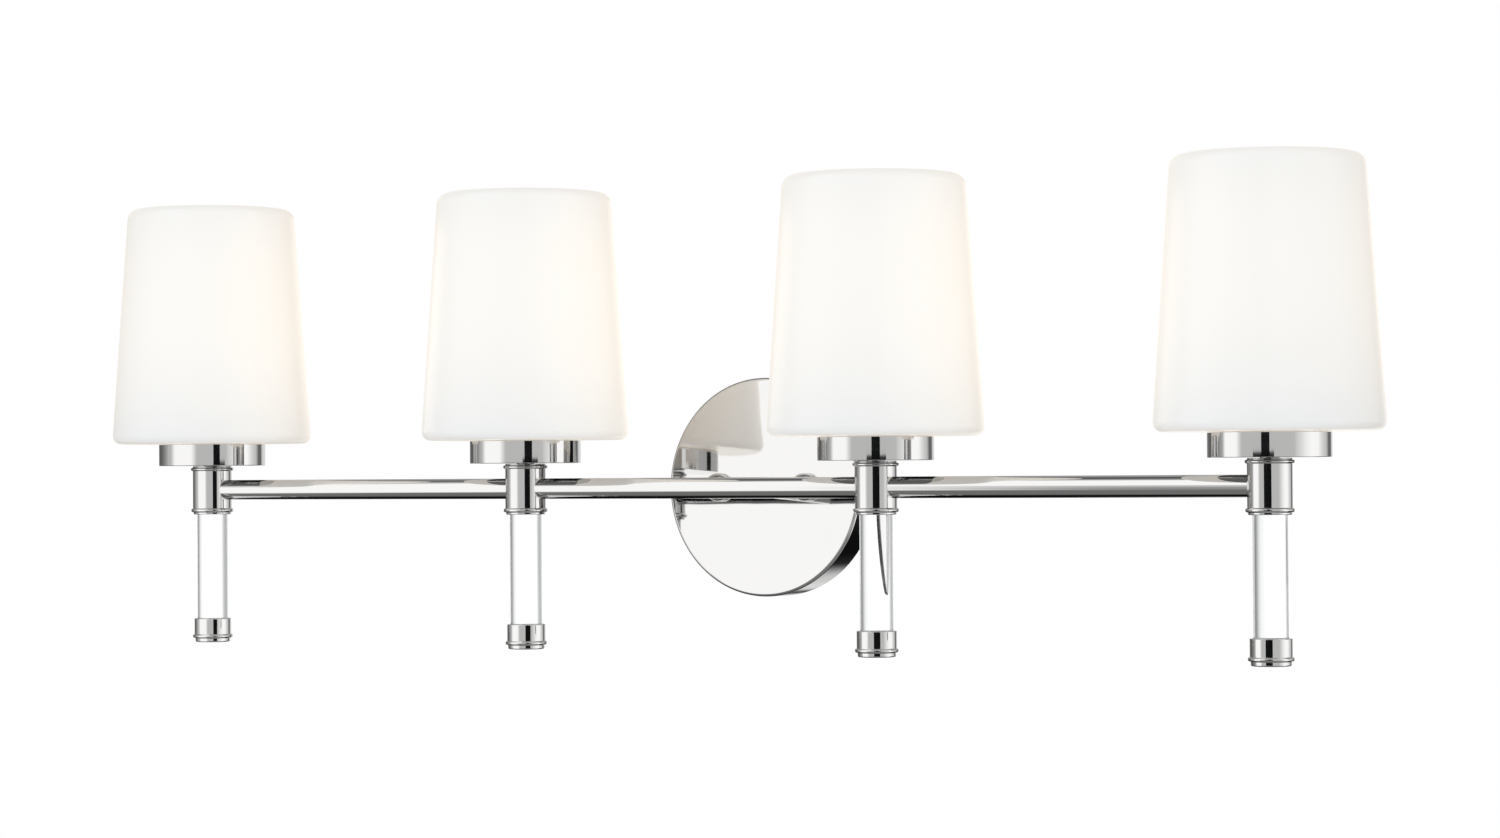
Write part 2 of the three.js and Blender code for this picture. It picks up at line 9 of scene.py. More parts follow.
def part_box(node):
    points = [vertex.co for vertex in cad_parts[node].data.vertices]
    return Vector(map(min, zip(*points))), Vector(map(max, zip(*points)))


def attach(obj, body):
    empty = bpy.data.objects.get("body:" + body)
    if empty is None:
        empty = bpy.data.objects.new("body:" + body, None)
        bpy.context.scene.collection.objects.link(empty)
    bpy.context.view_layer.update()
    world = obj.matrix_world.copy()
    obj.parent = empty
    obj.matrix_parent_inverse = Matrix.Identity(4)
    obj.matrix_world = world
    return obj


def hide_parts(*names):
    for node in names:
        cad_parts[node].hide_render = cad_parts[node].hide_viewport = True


bl_info = {
    "name": "Vanity Light Bar",
    "version": (1, 0, 0),
    "blender": (4, 5, 0),
    "location": "View3D > Sidebar > Vanity Light",
    "description": "Builds a four-light vanity bar with opal glass shades, clear rods and chrome fittings",
    "category": "Add Mesh",
}

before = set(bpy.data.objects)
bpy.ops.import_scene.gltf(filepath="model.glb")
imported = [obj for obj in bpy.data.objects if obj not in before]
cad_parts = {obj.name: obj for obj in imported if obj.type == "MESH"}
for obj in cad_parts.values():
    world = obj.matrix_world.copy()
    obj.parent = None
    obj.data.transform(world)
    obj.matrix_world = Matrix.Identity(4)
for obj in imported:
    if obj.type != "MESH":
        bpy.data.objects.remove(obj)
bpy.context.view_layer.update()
MM = 0.001
FIT = 0.3 * MM  # gap between a piece and the bore it is let into
LIGHTS = (1, 2, 3, 4)
X_AXIS = Vector((1, 0, 0))
Y_AXIS = Vector((0, 1, 0))
Z_AXIS = Vector((0, 0, 1))


# ------------------------------------------------------------------ places read from the frame
def low(node):
    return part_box(node)[0]


def high(node):
    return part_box(node)[1]


def centre(node):
    lowest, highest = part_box(node)
    return (lowest + highest) / 2


def half_width(node):
    return (high(node).x - low(node).x) / 2


def upright_axis(node):
    """A point at height zero on the upright axis of a turned CAD node."""
    middle = centre(node)
    return Vector((middle.x, middle.y, 0))


def depth_axis(node):
    """A point on the wall's plane, on the axis of a CAD node turned about Y."""
    middle = centre(node)
    return Vector((middle.x, 0, middle.z))


# ------------------------------------------------------------------ settings
class LIGHTBAR_PG_shapes(bpy.types.PropertyGroup):
    """Sizes of the finished surfaces that the plain frame leaves out."""

    sides: IntProperty(
        name="Sides",
        description="Facets round each turned piece",
        default=112,
        min=24,
        max=256,
    )
    edge_break: FloatProperty(
        name="Edge break",
        description="Rounding of a polished metal edge",
        default=0.35 * MM,
        min=0.0,
        unit="LENGTH",
    )
    shade_top_radius: FloatProperty(
        name="Shade top radius",
        description="Outside radius of the wall at the top",
        default=50.1 * MM,
        unit="LENGTH",
    )
    shade_mouth_radius: FloatProperty(
        name="Shade mouth radius",
        description="Clear radius inside the lip",
        default=43.5 * MM,
        unit="LENGTH",
    )
    shade_shoulder: FloatProperty(
        name="Shade shoulder",
        description="Rounding where the wall turns in to the lip",
        default=5 * MM,
        unit="LENGTH",
    )
    shade_lip_slope: FloatProperty(
        name="Lip slope",
        description="Rise of the lip towards the mouth, in degrees",
        default=9.0,
        min=0.0,
        max=30.0,
    )
    shade_wall: FloatProperty(
        name="Shade wall",
        description="Thickness of the opal glass",
        default=3 * MM,
        unit="LENGTH",
    )
    shade_corner: FloatProperty(
        name="Shade corner",
        description="Rounding where the wall meets the floor",
        default=5.4 * MM,
        unit="LENGTH",
    )
    cup_wall: FloatProperty(
        name="Cup wall",
        description="Sheet thickness of the fitter cup",
        default=1.2 * MM,
        unit="LENGTH",
    )
    tube_wall: FloatProperty(
        name="Tube wall",
        description="Wall of the bar and the arm",
        default=1.0 * MM,
        unit="LENGTH",
    )
    plate_wall: FloatProperty(
        name="Plate wall",
        description="Sheet thickness of the back plate",
        default=1.2 * MM,
        unit="LENGTH",
    )
    plate_edge: FloatProperty(
        name="Plate edge",
        description="Rounding of the back plate's front rim",
        default=2.0 * MM,
        unit="LENGTH",
    )


class LIGHTBAR_PG_colours(bpy.types.PropertyGroup):
    """Colours and strengths of the finishes."""

    chrome: FloatVectorProperty(
        name="Chrome",
        description="Polished chrome plate",
        subtype="COLOR",
        default=(0.66, 0.656, 0.65),
        size=3,
    )
    opal: FloatVectorProperty(
        name="Opal glass",
        description="Body of the shade glass",
        subtype="COLOR",
        default=(0.93, 0.925, 0.91),
        size=3,
    )
    glow: FloatVectorProperty(
        name="Glow",
        description="Lamplight in the shade at the lamp's height",
        subtype="COLOR",
        default=(0.68, 0.59, 0.48),
        size=3,
    )
    glow_low: FloatVectorProperty(
        name="Low glow",
        description="Lamplight in the shade near its floor",
        subtype="COLOR",
        default=(0.62, 0.545, 0.455),
        size=3,
    )
    glow_floor: FloatVectorProperty(
        name="Floor glow",
        description="Lamplight in the shade's bottom corner",
        subtype="COLOR",
        default=(0.555, 0.496, 0.422),
        size=3,
    )
    glow_inside: FloatVectorProperty(
        name="Inside glow",
        description="Lamplight that the inner face adds to what the lamp throws on it",
        subtype="COLOR",
        default=(0.10, 0.085, 0.06),
        size=3,
    )
    lamp: FloatVectorProperty(
        name="Lamp",
        description="Colour of the lit lamp",
        subtype="COLOR",
        default=(1.0, 0.86, 0.66),
        size=3,
    )
    lamp_strength: FloatProperty(
        name="Lamp strength",
        description="Brightness of the lit lamp",
        default=0.8,
        min=0.0,
    )


def shapes():
    return bpy.context.scene.lightbar_shapes


def colours():
    return bpy.context.scene.lightbar_colours


# ------------------------------------------------------------------ making meshes
ROUNDING_STEPS = 5
MERGE_DISTANCE = 1e-6


def new_object(work, name, material):
    """Turns a bmesh into an object at the origin, with one material."""
    mesh = bpy.data.meshes.new(name)
    work.to_mesh(mesh)
    work.free()
    mesh.materials.append(material)
    made = bpy.data.objects.new(name, mesh)
    bpy.context.scene.collection.objects.link(made)
    return made


def finish_piece(work, name, body, nodes, material):
    """Turns a bmesh into a smooth piece on a CAD body, standing for its CAD nodes."""
    piece = new_object(work, name, material)
    piece.data.shade_smooth()
    piece.modifiers.new("Even shading", "WEIGHTED_NORMAL").keep_sharp = True
    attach(piece, body)
    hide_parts(*nodes)


def turned(outline, origin, axis=Z_AXIS, closed=True, sides=None):
    """A bmesh of an outline turned about an axis.

    Each corner of the outline is (radius, place along the axis, rounding).
    """
    work = bmesh.new()
    corners = [work.verts.new((radius, 0, place)) for radius, place, _ in outline]
    pairs = list(zip(corners, corners[1:]))
    if closed:
        pairs.append((corners[-1], corners[0]))
    for first, second in pairs:
        work.edges.new((first, second))
    roundings = {}
    for corner, (_, _, rounding) in zip(corners, outline):
        if rounding > 0:
            roundings.setdefault(rounding, []).append(corner)
    for rounding, group in roundings.items():
        bmesh.ops.bevel(
            work, geom=group, offset=rounding, offset_type="OFFSET", segments=ROUNDING_STEPS, profile=0.5,
            affect="VERTICES", material=-1, clamp_overlap=True,
        )
    bmesh.ops.spin(
        work, geom=work.verts[:] + work.edges[:], cent=(0, 0, 0), axis=(0, 0, 1),
        angle=math.tau, steps=sides or shapes().sides, use_merge=True, use_duplicate=False,
    )
    bmesh.ops.remove_doubles(work, verts=work.verts[:], dist=MERGE_DISTANCE)
    bmesh.ops.recalc_face_normals(work, faces=work.faces[:])
    turn = Z_AXIS.rotation_difference(axis).to_matrix()
    bmesh.ops.rotate(work, cent=(0, 0, 0), matrix=turn, verts=work.verts[:])
    bmesh.ops.translate(work, vec=origin, verts=work.verts[:])
    return work


# ------------------------------------------------------------------ making materials
PLATE_LEAN_UP = math.radians(1.9)
PLATE_LEAN_RIGHT = math.radians(-0.5)
PLATE_WAVE_HEIGHT = 0.12 * MM
PLATE_WAVES_PER_METRE = 26.0


def new_material(name):
    material = bpy.data.materials.new(name)
    material.use_nodes = True
    tree = material.node_tree
    return material, tree, tree.nodes["Principled BSDF"]


def feed(tree, socket, source):
    """Gives a socket a number, a colour or another node's output."""
    if isinstance(source, bpy.types.NodeSocket):
        tree.links.new(source, socket)
    elif isinstance(source, (int, float)):
        socket.default_value = source
    else:
        socket.default_value = (*source, 1)


def coordinate(tree, kind="Object"):
    return tree.nodes.new("ShaderNodeTexCoord").outputs[kind]


def split_place(tree, kind="Object"):
    """The X, Y and Z of a coordinate."""
    split = tree.nodes.new("ShaderNodeSeparateXYZ")
    feed(tree, split.inputs["Vector"], coordinate(tree, kind))
    return split.outputs


def object_noise(tree, scale, detail):
    """Noise on Object coordinates, from 0 to 1."""
    noise = tree.nodes.new("ShaderNodeTexNoise")
    feed(tree, noise.inputs["Scale"], scale)
    feed(tree, noise.inputs["Detail"], detail)
    feed(tree, noise.inputs["Vector"], coordinate(tree))
    return noise.outputs["Fac"]


def calculated(tree, operation, *terms):
    """A sum on plain numbers and node outputs."""
    node = tree.nodes.new("ShaderNodeMath")
    node.operation = operation
    for socket, term in zip(node.inputs, terms):
        feed(tree, socket, term)
    return node.outputs["Value"]


def mapped(tree, value, start, end, lowest=0.0, highest=1.0, interpolation="LINEAR"):
    """Goes from lowest to highest as the value goes from start to end."""
    mapping = tree.nodes.new("ShaderNodeMapRange")
    mapping.interpolation_type = interpolation
    feed(tree, mapping.inputs["Value"], value)
    feed(tree, mapping.inputs["From Min"], start)
    feed(tree, mapping.inputs["From Max"], end)
    feed(tree, mapping.inputs["To Min"], lowest)
    feed(tree, mapping.inputs["To Max"], highest)
    return mapping.outputs["Result"]


def fade(tree, value, start, end):
    """Rises smoothly from 0 to 1 as the value goes from start to end."""
    return mapped(tree, value, start, end, interpolation="SMOOTHSTEP")


def ramp(tree, value, stops, interpolation="LINEAR"):
    """Colours along a value from 0 to 1. Each stop is (value, colour)."""
    node = tree.nodes.new("ShaderNodeValToRGB")
    node.color_ramp.interpolation = interpolation
    elements = node.color_ramp.elements
    for _ in stops[2:]:
        elements.new(0.5)
    for element, (place, colour) in zip(elements, stops):
        element.position = place
        element.color = (*colour, 1)
    feed(tree, node.inputs["Fac"], value)
    return node.outputs["Color"]


def tinted(tree, factor, first, second):
    """Blends two colours by a factor."""
    mix = tree.nodes.new("ShaderNodeMix")
    mix.data_type = "RGBA"
    feed(tree, mix.inputs["Factor"], factor)
    feed(tree, mix.inputs["A"], first)
    feed(tree, mix.inputs["B"], second)
    return mix.outputs["Result"]


def shaded(colour, amount):
    return tuple(channel * amount for channel in colour)


def clouded(tree, socket, scale, detail, colour, darkest):
    """Feeds a colour that drifts between its full tone and a darker one."""
    cloud = object_noise(tree, scale, detail)
    feed(tree, socket, tinted(tree, cloud, shaded(colour, darkest), colour))


def grained(tree, shader, scale, detail, smoothest, roughest):
    """Lets the gloss drift between two roughnesses."""
    grain = object_noise(tree, scale, detail)
    feed(tree, shader.inputs["Roughness"], mapped(tree, grain, 0.0, 1.0, smoothest, roughest))


def bumped(tree, shader, height, distance, strength):
    bump = tree.nodes.new("ShaderNodeBump")
    feed(tree, bump.inputs["Strength"], strength)
    feed(tree, bump.inputs["Distance"], distance)
    feed(tree, bump.inputs["Height"], height)
    feed(tree, shader.inputs["Normal"], bump.outputs["Normal"])


def cached(make):
    """Makes each material once and hands the same one out afterwards."""
    made = {}

    def get():
        if "material" not in made:
            made["material"] = make()
        return made["material"]

    return get


def polished(name):
    """Chrome plate, with the faintest cloud in its tone and its gloss."""
    material, tree, shader = new_material(name)
    clouded(tree, shader.inputs["Base Color"], 45.0, 2.0, tuple(colours().chrome), 0.985)
    grained(tree, shader, 220.0, 5.0, 0.02, 0.05)
    shader.inputs["Metallic"].default_value = 1.0
    return material, tree, shader


@cached
def chrome():
    return polished("Polished chrome")[0]


@cached
def plate_chrome():
    """Chrome on pressed sheet, whose face leans a little from square and is not quite flat."""
    material, tree, shader = polished("Polished plate chrome")
    lean = tree.nodes.new("ShaderNodeVectorMath")
    lean.operation = "DOT_PRODUCT"
    lean.inputs[1].default_value = (-math.tan(PLATE_LEAN_RIGHT), 0, -math.tan(PLATE_LEAN_UP))
    feed(tree, lean.inputs[0], coordinate(tree))
    waves = object_noise(tree, PLATE_WAVES_PER_METRE, 1.0)
    height = calculated(tree, "MULTIPLY_ADD", waves, PLATE_WAVE_HEIGHT, lean.outputs["Value"])
    bumped(tree, shader, height, 1.0, 1.0)
    return material


def outer_face(tree, place, height):
    """1 on the outside of every shade, its lip and its underside, and 0 on its inner wall and floor."""
    axis = centre("shade_1")
    pitch = centre("shade_2").x - axis.x
    wall = shapes().shade_wall
    base, top = half_width("shade_1"), shapes().shade_top_radius
    floor_z, mouth_z = low("shade_1").z, high("shade_1").z
    folded = calculated(tree, "WRAP", place["X"], axis.x + pitch / 2, axis.x - pitch / 2)
    across = calculated(tree, "SUBTRACT", folded, axis.x)
    deep = calculated(tree, "SUBTRACT", place["Y"], axis.y)
    squares = calculated(
        tree, "ADD", calculated(tree, "MULTIPLY", across, across), calculated(tree, "MULTIPLY", deep, deep)
    )
    radius = calculated(tree, "SQRT", squares)
    wall_radius = calculated(tree, "MULTIPLY_ADD", height, top - base, base)
    inset = calculated(tree, "SUBTRACT", wall_radius, radius)
    on_wall = fade(tree, inset, wall * 0.8, wall * 0.35)
    on_lip = fade(tree, place["Z"], mouth_z - wall * 3, mouth_z - wall * 2.3)
    underneath = fade(tree, place["Z"], floor_z + wall * 0.93, floor_z + wall * 0.8)
    return calculated(tree, "MAXIMUM", on_wall, calculated(tree, "MAXIMUM", on_lip, underneath))


@cached
def opal_glass():
    """White glass with the lamp's light painted on as an emitted glow: warmest at the lamp's height, paler
    at the ends.
    """
    material, tree, shader = new_material("Opal glass")
    tones = colours()
    clouded(tree, shader.inputs["Base Color"], 18.0, 3.0, tuple(tones.opal), 0.98)
    shader.inputs["Roughness"].default_value = 0.28
    shader.inputs["IOR"].default_value = 1.5
    shader.inputs["Specular IOR Level"].default_value = 0.28
    place = split_place(tree)
    height = mapped(tree, place["Z"], low("shade_1").z, high("shade_1").z)
    stops = (
        (0.0, tones.glow_floor),
        (0.16, tones.glow_low),
        (0.42, tones.glow),
        (0.78, tones.glow),
        (1.0, tones.glow_low),
    )
    # painted lamplight: the shade glows by its own emission, graded by height and dimmer on the inner face
    glow = ramp(tree, height, stops, "B_SPLINE")
    lit = tinted(tree, outer_face(tree, place, height), tones.glow_inside, glow)
    feed(tree, shader.inputs["Emission Color"], lit)
    shader.inputs["Emission Strength"].default_value = 1.0
    bumped(tree, shader, object_noise(tree, 60.0, 4.0), 0.08 * MM, 0.25)
    return material


@cached
def clear_glass():
    material, tree, shader = new_material("Clear rod glass")
    shader.inputs["Base Color"].default_value = (0.985, 0.992, 0.995, 1)
    shader.inputs["IOR"].default_value = 1.49
    shader.inputs["Transmission Weight"].default_value = 1.0
    grained(tree, shader, 160.0, 3.0, 0.0, 0.015)
    return material


@cached
def lit_lamp():
    material, tree, shader = new_material("Frosted lit lamp")
    tone = tuple(colours().lamp)
    cloud = object_noise(tree, 30.0, 2.0)
    feed(tree, shader.inputs["Base Color"], tinted(tree, cloud, (0.93, 0.91, 0.87), (0.96, 0.95, 0.92)))
    feed(tree, shader.inputs["Emission Color"], tinted(tree, cloud, shaded(tone, 0.94), tone))
    shader.inputs["Emission Strength"].default_value = colours().lamp_strength
    shader.inputs["Roughness"].default_value = 0.35
    return material


def plain_metal(name, colour, roughness):
    """Bare or plated metal, slightly mottled, with a fine grain."""
    material, tree, shader = new_material(name)
    clouded(tree, shader.inputs["Base Color"], 90.0, 4.0, colour, 0.8)
    grained(tree, shader, 180.0, 5.0, roughness * 0.7, roughness * 1.4)
    shader.inputs["Metallic"].default_value = 1.0
    bumped(tree, shader, object_noise(tree, 700.0, 4.0), 0.04 * MM, 0.3)
    return material


def moulded(name, colour, roughness):
    """Moulded plastic with a faint mottle."""
    material, tree, shader = new_material(name)
    clouded(tree, shader.inputs["Base Color"], 120.0, 3.0, colour, 0.88)
    grained(tree, shader, 500.0, 4.0, roughness * 0.8, roughness * 1.25)
    bumped(tree, shader, object_noise(tree, 900.0, 4.0), 0.03 * MM, 0.3)
    return material


@cached
def lamp_base_metal():
    return plain_metal("Rolled lamp base", (0.76, 0.76, 0.75), 0.28)


@cached
def shell_brass():
    return plain_metal("Pressed brass", (0.78, 0.62, 0.34), 0.28)


@cached
def zinc_steel():
    return plain_metal("Zinc-plated steel", (0.66, 0.67, 0.68), 0.34)


@cached
def green_steel():
    return plain_metal("Green-dyed steel", (0.10, 0.38, 0.17), 0.36)


@cached
def holder_plastic():
    return moulded("Moulded lampholder", (0.90, 0.89, 0.86), 0.32)


@cached
def lead_sleeve():
    return moulded("Lead sleeve", (0.045, 0.045, 0.05), 0.5)


# ------------------------------------------------------------------ one operator for each kind of piece
LAMP_THREAD_PITCH = 3.6 * MM


class LIGHTBAR_OT_shades(bpy.types.Operator):
    """Turns the four tapered opal glass tumblers, mouth up, with the lampholder's hole in each floor"""

    bl_idname = "lightbar.shades"
    bl_label = "Opal Glass Shades"

    def execute(self, context):
        sizes = shapes()
        for light in LIGHTS:
            node = f"shade_{light}"
            floor_z, mouth_z = low(node).z, high(node).z
            base, top, wall = half_width(node), sizes.shade_top_radius, sizes.shade_wall
            hole = half_width(f"lampholder_{light}") + 1.5 * MM
            slope = math.radians(sizes.shade_lip_slope)
            lip_drop = (top - sizes.shade_mouth_radius) * math.tan(slope)
            rim = wall * 0.46
            outline = [
                (hole, floor_z, 0.8 * MM),
                (base, floor_z, sizes.shade_corner),
                (top, mouth_z - lip_drop, sizes.shade_shoulder),
                (sizes.shade_mouth_radius, mouth_z, rim),
                (sizes.shade_mouth_radius, mouth_z - wall, rim),
                (top - wall, mouth_z - lip_drop - wall, sizes.shade_shoulder - wall),
                (base - wall, floor_z + wall, sizes.shade_corner - wall),
                (hole, floor_z + wall, 0.8 * MM),
            ]
            shade = turned(outline, upright_axis(node))
            finish_piece(shade, f"opal_shade_{light}", "fixture", [node], opal_glass())
        return {"FINISHED"}


class LIGHTBAR_OT_lamps(bpy.types.Operator):
    """Turns the lamps: a frosted glass bulb on a threaded metal base"""

    bl_idname = "lightbar.lamps"
    bl_label = "Lamps"

    def execute(self, context):
        for light in LIGHTS:
            self.glass(light)
            self.base(light)
        return {"FINISHED"}

    def glass(self, light):
        node = f"lamp_glass_{light}"
        bottom, top, globe = low(node).z, high(node).z, half_width(node)
        neck = half_width(f"lamp_base_{light}") + 0.6 * MM
        globe_z = top - globe
        outline = [
            (0, bottom, 0),
            (neck, bottom, 0.5 * MM),
            (neck + 0.4 * MM, bottom + 5 * MM, 3 * MM),
        ]
        for degrees in range(-36, 90, 6):
            angle = math.radians(degrees)
            outline.append((globe * math.cos(angle), globe_z + globe * math.sin(angle), 0))
        outline.append((0, top, 0))
        bulb = turned(outline, upright_axis(node), closed=False, sides=64)
        finish_piece(bulb, f"lamp_bulb_{light}", f"lamp_{light}", [node], lit_lamp())

    def base(self, light):
        node = f"lamp_base_{light}"
        bottom, top, radius = low(node).z, high(node).z, half_width(node)
        thread_start = bottom + 5 * MM
        pitch, turns = LAMP_THREAD_PITCH, 4
        outline = [
            (0, bottom, 0),
            (4.5 * MM, bottom, 0.8 * MM),
            (5 * MM, bottom + 1.2 * MM, 0.4 * MM),
            (radius - 2 * MM, thread_start - 1 * MM, 1 * MM),
        ]
        for turn in range(turns):
            ridge = thread_start + turn * pitch
            outline.append((radius - 1.1 * MM, ridge, 0.6 * MM))
            outline.append((radius, ridge + pitch / 2, 0.9 * MM))
        outline += [
            (radius - 0.9 * MM, thread_start + turns * pitch, 0.6 * MM),
            (radius, top - 3 * MM, 0.5 * MM),
            (radius, top, 0.2 * MM),
            (0, top, 0),
        ]
        base = turned(outline, upright_axis(node), closed=False, sides=64)
        finish_piece(base, f"lamp_cap_{light}", f"lamp_{light}", [node], lamp_base_metal())


class LIGHTBAR_OT_lampholders(bpy.types.Operator):
    """Turns the lampholders, their brass shells, the nipples and the threaded shade rings"""

    bl_idname = "lightbar.lampholders"
    bl_label = "Lampholders and Rings"

    def execute(self, context):
        for light in LIGHTS:
            self.holder(light)
            self.shell(light)
            self.ring(light)
            self.nipple(light)
        return {"FINISHED"}

    def holder(self, light):
        node = f"lampholder_{light}"
        bottom, top, radius = low(node).z, high(node).z, half_width(node)
        bore = half_width(f"screw_shell_{light}") + FIT
        wireway = half_width(f"nipple_{light}") + FIT
        floor_z = low(f"screw_shell_{light}").z - FIT
        outline = [(wireway, bottom, 0.3 * MM), (radius, bottom, 0.6 * MM)]
        pitch, depth, turns = 2.2 * MM, 0.7 * MM, 8
        start = low(f"shade_ring_{light}").z - 4 * MM
        for turn in range(turns):
            outline.append((radius, start + turn * pitch, 0.25 * MM))
            outline.append((radius - depth, start + (turn + 0.5) * pitch, 0.25 * MM))
        outline += [
            (radius, start + turns * pitch, 0.3 * MM),
            (radius, top, 0.8 * MM),
            (bore, top, 0.8 * MM),
            (bore, floor_z, 0.3 * MM),
            (wireway, floor_z, 0.3 * MM),
        ]
        holder = turned(outline, upright_axis(node), sides=72)
        finish_piece(holder, f"lampholder_body_{light}", "fixture", [node], holder_plastic())

    def shell(self, light):
        node = f"screw_shell_{light}"
        bottom, top, radius = low(node).z, high(node).z, half_width(node)
        wall = 0.45 * MM
        pitch, depth, start = LAMP_THREAD_PITCH, 0.5 * MM, bottom + 3 * MM
        waves = []
        for turn in range(5):
            waves.append((radius, start + turn * pitch))
            waves.append((radius - depth, start + (turn + 0.5) * pitch))
        outside = [(r, z, 0.5 * MM) for r, z in waves]
        inside = [(r - wall, z, 0.5 * MM) for r, z in reversed(waves)]
        outline = [
            (0, bottom, 0),
            (radius - depth, bottom, 0.4 * MM),
            *outside,
            (radius, top, 0.1 * MM),
            (radius - wall, top, 0.1 * MM),
            *inside,
            (radius - depth - wall, bottom + wall, 0.3 * MM),
            (0, bottom + wall, 0),
        ]
        shell = turned(outline, upright_axis(node), closed=False, sides=64)
        finish_piece(shell, f"brass_shell_{light}", "fixture", [node], shell_brass())

    def ring(self, light):
        node = f"shade_ring_{light}"
        bottom, top, radius = low(node).z, high(node).z, half_width(node)
        bore = half_width(f"lampholder_{light}") + 0.6 * MM
        outline = [
            (bore, bottom, 0.4 * MM),
            (radius, bottom, 0.4 * MM),
            (radius, top, 0.8 * MM),
            (bore, top, 0.8 * MM),
        ]
        ring = turned(outline, upright_axis(node), sides=72)
        name, body = f"shade_retaining_ring_{light}", f"ring_{light}"
        finish_piece(ring, name, body, [node], holder_plastic())

    def nipple(self, light):
        node = f"nipple_{light}"
        bottom, top, radius = low(node).z, high(node).z, half_width(node)
        bore = radius - 1.6 * MM
        outline = [
            (bore, bottom, 0.2 * MM),
            (radius, bottom, 0.4 * MM),
            (radius, top, 0.4 * MM),
            (bore, top, 0.2 * MM),
        ]
        nipple = turned(outline, upright_axis(node), sides=48)
        finish_piece(nipple, f"threaded_nipple_{light}", "fixture", [node], zinc_steel())


class LIGHTBAR_OT_cups(bpy.types.Operator):
    """Turns the shallow chrome cups that the shades stand on"""

    bl_idname = "lightbar.cups"
    bl_label = "Fitter Cups"

    def execute(self, context):
        sizes = shapes()
        for light in LIGHTS:
            node = f"fitter_cup_{light}"
            bottom, top, radius = low(node).z, high(node).z, half_width(node)
            wall, edge = sizes.cup_wall, sizes.edge_break
            hole = half_width(f"nipple_{light}") + FIT
            outline = [
                (hole, bottom, 0),
                (radius, bottom, edge),
                (radius, top, edge),
                (radius - wall, top, edge),
                (radius - wall, bottom + wall, 0.6 * MM),
                (hole, bottom + wall, 0),
            ]
            cup = turned(outline, upright_axis(node))
            finish_piece(cup, f"chrome_cup_{light}", "fixture", [node], chrome())
        return {"FINISHED"}


class LIGHTBAR_OT_hubs(bpy.types.Operator):
    """Turns the hub of each light: a ring under the cup, the body that the bar enters, a bead and a lip"""

    bl_idname = "lightbar.hubs"
    bl_label = "Hubs"

    def execute(self, context):
        edge = shapes().edge_break
        for light in LIGHTS:
            node = f"hub_{light}"
            bottom, top = low(node).z, high(node).z
            bore = half_width(f"clear_rod_{light}") + FIT
            body = bore + 2.3 * MM
            ring, bead, lip = body + 1.2 * MM, body + 1.0 * MM, body - 0.4 * MM
            lip_top, bead_top = bottom + 1.3 * MM, bottom + 3.6 * MM
            ring_foot, ring_top = top - 2.8 * MM, top - 0.9 * MM
            recess = high(f"clear_rod_{light}").z + FIT
            outline = [
                (0, recess, 0),
                (bore, recess, 0.2 * MM),
                (bore, bottom, 0.2 * MM),
                (lip, bottom, 0.45 * MM),
                (lip, lip_top, 0.2 * MM),
                (bead, lip_top + 0.05 * MM, 0.9 * MM),
                (bead, bead_top - 0.05 * MM, 0.9 * MM),
                (body, bead_top, 0.15 * MM),
                (body, ring_foot - 0.05 * MM, 0.15 * MM),
                (ring, ring_foot, 0.85 * MM),
                (ring, ring_top, 0.85 * MM),
                (body, ring_top + 0.05 * MM, 0.15 * MM),
                (body, top, edge),
                (0, top, 0),
            ]
            hub = turned(outline, upright_axis(f"clear_rod_{light}"), closed=False)
            finish_piece(hub, f"chrome_hub_{light}", "fixture", [node], chrome())
        return {"FINISHED"}


class LIGHTBAR_OT_rods(bpy.types.Operator):
    """Turns the solid clear rods that hang between the hubs and the end caps"""

    bl_idname = "lightbar.rods"
    bl_label = "Clear Rods"

    def execute(self, context):
        for light in LIGHTS:
            node = f"clear_rod_{light}"
            bottom, top, radius = low(node).z, high(node).z, half_width(node)
            outline = [(0, bottom, 0), (radius, bottom, 0.5 * MM), (radius, top, 0.5 * MM), (0, top, 0)]
            rod = turned(outline, upright_axis(node), closed=False)
            finish_piece(rod, f"glass_rod_{light}", "fixture", [node], clear_glass())
        return {"FINISHED"}


class LIGHTBAR_OT_end_caps(bpy.types.Operator):
    """Turns the closed cap under each rod, with its bead and small foot"""

    bl_idname = "lightbar.end_caps"
    bl_label = "End Caps"

    def execute(self, context):
        edge = shapes().edge_break
        for light in LIGHTS:
            node = f"end_cap_{light}"
            bottom, top = low(node).z, high(node).z
            bore = half_width(f"clear_rod_{light}") + FIT
            body = bore + 1.6 * MM
            bead, foot = body + 1.0 * MM, body - 0.5 * MM
            foot_top, bead_top = bottom + 2.4 * MM, bottom + 4.6 * MM
            rod_end = low(f"clear_rod_{light}").z - FIT
            outline = [
                (0, bottom, 0),
                (foot, bottom, 0.7 * MM),
                (foot, foot_top, 0.2 * MM),
                (bead, foot_top + 0.1 * MM, 0.9 * MM),
                (bead, bead_top - 0.1 * MM, 0.9 * MM),
                (body, bead_top, 0.2 * MM),
                (body, top, edge),
                (bore, top, edge),
                (bore, rod_end, 0.2 * MM),
                (0, rod_end, 0),
            ]
            cap = turned(outline, upright_axis(node), closed=False)
            finish_piece(cap, f"chrome_end_cap_{light}", "fixture", [node], chrome())
        return {"FINISHED"}


